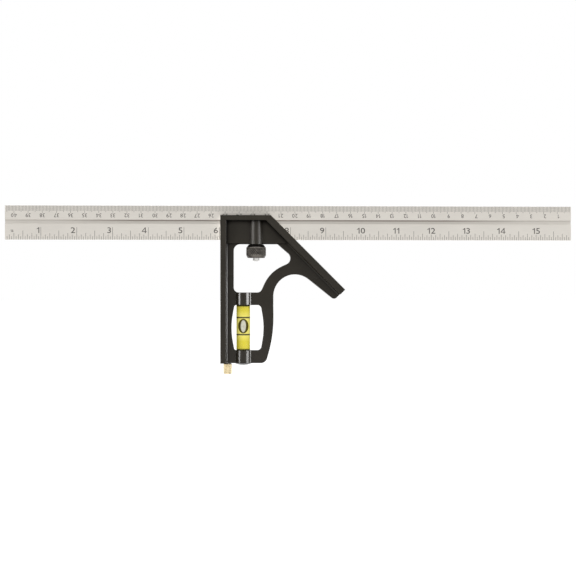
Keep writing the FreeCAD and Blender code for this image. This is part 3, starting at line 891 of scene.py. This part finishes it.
def make_vial_lines(material):
    """The two dark index lines printed round the tube."""
    inner, outer = TUBE.radius - LINE_SUNK, TUBE.radius + LINE_PROUD
    for name, centre in (("upper", BUBBLE.middle + LINE_OFFSET), ("lower", BUBBLE.middle - LINE_OFFSET)):
        foot, top = centre - LINE_HALF, centre + LINE_HALF
        profile = [(inner, foot), (outer, foot), (outer, top), (inner, top)]
        points = ring_of(TUBE.axis, lambda angle, row: profile[row], len(profile), VIAL_COLUMNS)
        faces = ring_faces(len(profile), VIAL_COLUMNS, closed=True)
        new_piece(f"vial_line_{name}", points, faces, material, "head")


def make_vial_fluid():
    """The filling as one column with rounded ends."""
    low, high = FLUID.foot, FLUID.top
    rows = [
        (END_DISC, low),
        (LIQUID_RADIUS - LIQUID_EASE, low),
        (LIQUID_RADIUS - LIQUID_EASE_MIDDLE, low + LIQUID_EASE_MIDDLE),
        (LIQUID_RADIUS, low + LIQUID_EASE),
        (LIQUID_RADIUS, high - LIQUID_EASE),
        (LIQUID_RADIUS - LIQUID_EASE_MIDDLE, high - LIQUID_EASE_MIDDLE),
        (LIQUID_RADIUS - LIQUID_EASE, high),
        (END_DISC, high),
    ]
    points = ring_of(FLUID.axis, lambda angle, row: rows[row], len(rows), VIAL_COLUMNS)
    faces = capped_faces(len(rows), VIAL_COLUMNS)
    new_piece("tinted_spirit", points, faces, fluid_finish(), "head", "vial_fluid")


def make_vial_bubble():
    """The air bubble, flattened against the front of the tube's bore."""
    bore = LIQUID_RADIUS + BUBBLE_FILM
    points = []
    for side in (0, 1):
        for ring in range(BUBBLE_RINGS + 1):
            share = math.sin(math.pi / 2 * ring / BUBBLE_RINGS)
            for column in range(BUBBLE_COLUMNS):
                angle = 2 * math.pi * column / BUBBLE_COLUMNS
                x = BUBBLE_HALF_WIDTH * share * math.cos(angle)
                z = BUBBLE_HALF_LENGTH * share * math.sin(angle)
                y = -math.sqrt(bore * bore - x * x)
                y += side * BUBBLE_DEPTH * math.sqrt(max(0.0, 1 - share * share))
                points.append((TUBE.axis + x, y, BUBBLE.middle + z))
    front = ring_faces(BUBBLE_RINGS + 1, BUBBLE_COLUMNS)
    behind = (BUBBLE_RINGS + 1) * BUBBLE_COLUMNS
    faces = front + [tuple(behind + i for i in face) for face in front]
    new_piece("air_bubble", points, faces, bubble_finish(), "bubble", "vial_bubble")


# ---------------------------------------------------------------- scriber

def make_scriber_knob(material):
    """A brass knob with a straight knurl, chamfered at both ends.

    Each row is its radius, its height and how much of the flutes' depth it has.
    """
    rim = KNOB.radius - KNOB_CHAMFER
    low, high = KNOB.foot, KNOB.top
    socket_floor = low + NEEDLE_SOCKET_RISE
    rows = [
        (END_DISC, low, 0),
        (rim - FLUTE_RUN_OUT, low, 0),
        (rim, low + KNOB_EASE, 0),
        (KNOB.radius, low + KNOB_CHAMFER, 0.4),
        (KNOB.radius, low + KNOB_CHAMFER + FLUTE_RUN_OUT, 1),
        (KNOB.radius, high - KNOB_CHAMFER - FLUTE_RUN_OUT, 1),
        (KNOB.radius, high - KNOB_CHAMFER, 0.4),
        (rim, high, 0),
        (NEEDLE_RADIUS, high, 0),
        (NEEDLE_RADIUS, socket_floor, 0),
        (END_DISC, socket_floor, 0),
    ]

    def radius_at(angle, row):
        reach, z, share = rows[row]
        flute = valley(saw(angle * FLUTES / (2 * math.pi)), FLUTE_STEEPNESS)
        return reach - FLUTE_DEPTH * share * flute, z

    columns = FLUTES * COLUMNS_PER_RIDGE
    points = ring_of(KNOB.axis, radius_at, len(rows), columns)
    faces = capped_faces(len(rows), columns)
    new_piece("knurled_knob", points, faces, material, "scriber", "scriber_knob")


# ---------------------------------------------------------------- stage, light, camera

def add_area(name, place, aim, size, power, only_for=None):
    """A soft box aimed at a point. only_for lists the objects that it adds a sheen to."""
    data = bpy.data.lights.new(name, "AREA")
    data.shape = "RECTANGLE"
    data.size, data.size_y = size
    data.energy = power
    lamp = bpy.data.objects.new(name, data)
    lamp.location = place
    lamp.rotation_euler = (aim - Vector(place)).to_track_quat("-Z", "Y").to_euler()
    lamp.visible_camera = False
    if only_for:
        lamp.visible_diffuse = False
        receivers = bpy.data.collections.new(name + "_receivers")
        for piece in only_for:
            receivers.objects.link(piece)
        lamp.light_linking.receiver_collection = receivers
    bpy.context.scene.collection.objects.link(lamp)


def make_stage():
    """A pale floor, low enough for the scriber to be drawn out above it."""
    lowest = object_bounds()[0].z
    draw = next(joint for joint in frame["joints"] if joint["name"] == "scriber_draw")["range_m"][1]
    level = lowest - draw - FLOOR_GAP
    corners = [(-1, -1), (1, -1), (1, 1), (-1, 1)]
    mesh = bpy.data.meshes.new("floor")
    mesh.from_pydata([(x * FLOOR_HALF, y * FLOOR_HALF, level) for x, y in corners], [], [(0, 1, 2, 3)])
    floor = bpy.data.objects.new("floor", mesh)
    bpy.context.scene.collection.objects.link(floor)
    shader = Shader("floor_paint")
    tone = shader.blend(shader.noise(shader.place(), 3.0, 2.0), (0.90, 0.90, 0.90), (0.92, 0.92, 0.92))
    shader.surface(
        Base_Color=tone,
        Roughness=0.9,
        Specular_IOR_Level=0.1,
        Emission_Color=tone,
        Emission_Strength=0.62,
    )
    mesh.materials.append(shader.material)
    floor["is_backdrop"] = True


def make_world():
    """White behind the object, and a little dimmer as the light that falls on it."""
    world = bpy.data.worlds.new("studio")
    bpy.context.scene.world = world
    world.use_nodes = True
    tree = world.node_tree
    background = tree.nodes["Background"]
    background.inputs["Color"].default_value = (1.0, 1.0, 1.0, 1.0)
    path = tree.nodes.new("ShaderNodeLightPath")
    strength = tree.nodes.new("ShaderNodeMapRange")
    strength.inputs["To Min"].default_value = AMBIENT_LIGHT
    strength.inputs["To Max"].default_value = 1.0
    tree.links.new(path.outputs["Is Camera Ray"], strength.inputs["Value"])
    tree.links.new(strength.outputs["Result"], background.inputs["Strength"])


def make_lights():
    """A lamp above, and on each side one for everything, one for the coating, one for the fittings."""
    low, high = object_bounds()
    aim = (low + high) / 2
    coated = [frame["nodes"][node] for node in ("head", "socket_plug")]
    fittings = [bpy.data.objects[name] for name in ("knurled_nut", "threaded_bolt", "knurled_knob")]
    # Each kind of side lamp: its name, its share of the side's reach, Y, size, power and pieces.
    kinds = (
        ("softbox", 1.1, -0.79, (1.0, 1.4), 5.0, None),
        ("sheen", 1.0, -0.72, (0.90, 1.3), 110.0, coated),
        ("glint", 0.9, -0.65, (0.81, 1.17), 15.0, fittings),
    )
    for side, reach in SIDES:
        for kind, share, y, size, power, only_for in kinds:
            place = (reach * share, y, SIDE_LAMP_HEIGHT)
            add_area(f"{side}_{kind}", place, aim, size, power, only_for)
    add_area("top_softbox", TOP_LAMP_PLACE, aim, TOP_LAMP_SIZE, TOP_LAMP_POWER)


def make_camera():
    """In front of the head's 90 degree face, turned a little towards the blade's middle."""
    data = bpy.data.cameras.new("camera")
    data.sensor_width = CAMERA_SENSOR
    data.lens = CAMERA_LENS
    camera = bpy.data.objects.new("camera", data)
    camera.location = CAMERA_PLACE
    camera.rotation_euler = (math.radians(90), 0, -CAMERA_YAW)
    bpy.context.scene.collection.objects.link(camera)
    bpy.context.scene.camera = camera


# ---------------------------------------------------------------- build

def make_square():
    bright_steel = metal_finish("bolt_steel", (0.66, 0.65, 0.63), (0.88, 0.87, 0.85), 0.34)
    brass = metal_finish("brass", (0.42, 0.345, 0.205), (0.55, 0.47, 0.31), 0.30, (1, 1, 0.05), 1500.0)
    needle = metal_finish("needle_steel", (0.36, 0.35, 0.34), (0.60, 0.59, 0.57), 0.28)
    spring = metal_finish("spring_steel", (0.30, 0.29, 0.28), (0.52, 0.51, 0.49), 0.30)
    seal = plastic_finish("vial_seal", (0.010, 0.010, 0.010), (0.020, 0.019, 0.018), 0.45)
    plug = plastic_finish("plug_gloss", (0.008, 0.008, 0.007), (0.014, 0.013, 0.012), 0.20)
    ink = plastic_finish("line_ink", (0.040, 0.034, 0.002), (0.060, 0.050, 0.003), 0.5)
    repaint("head", head_finish())
    repaint("blade", blade_finish())
    repaint("lock_spring", spring)
    repaint("vial_tube", tube_finish())
    repaint("vial_stopper", seal)
    repaint("socket_plug", plug)
    repaint("scriber_sleeve", brass)
    repaint("scriber_needle", needle)
    make_graduations()
    make_lock_nut()
    make_lock_bolt(bright_steel)
    make_vial_lines(ink)
    make_vial_fluid()
    make_vial_bubble()
    make_scriber_knob(brass)


make_square()
make_stage()
make_world()
make_lights()
make_camera()
bpy.context.scene.view_settings.view_transform = "Standard"
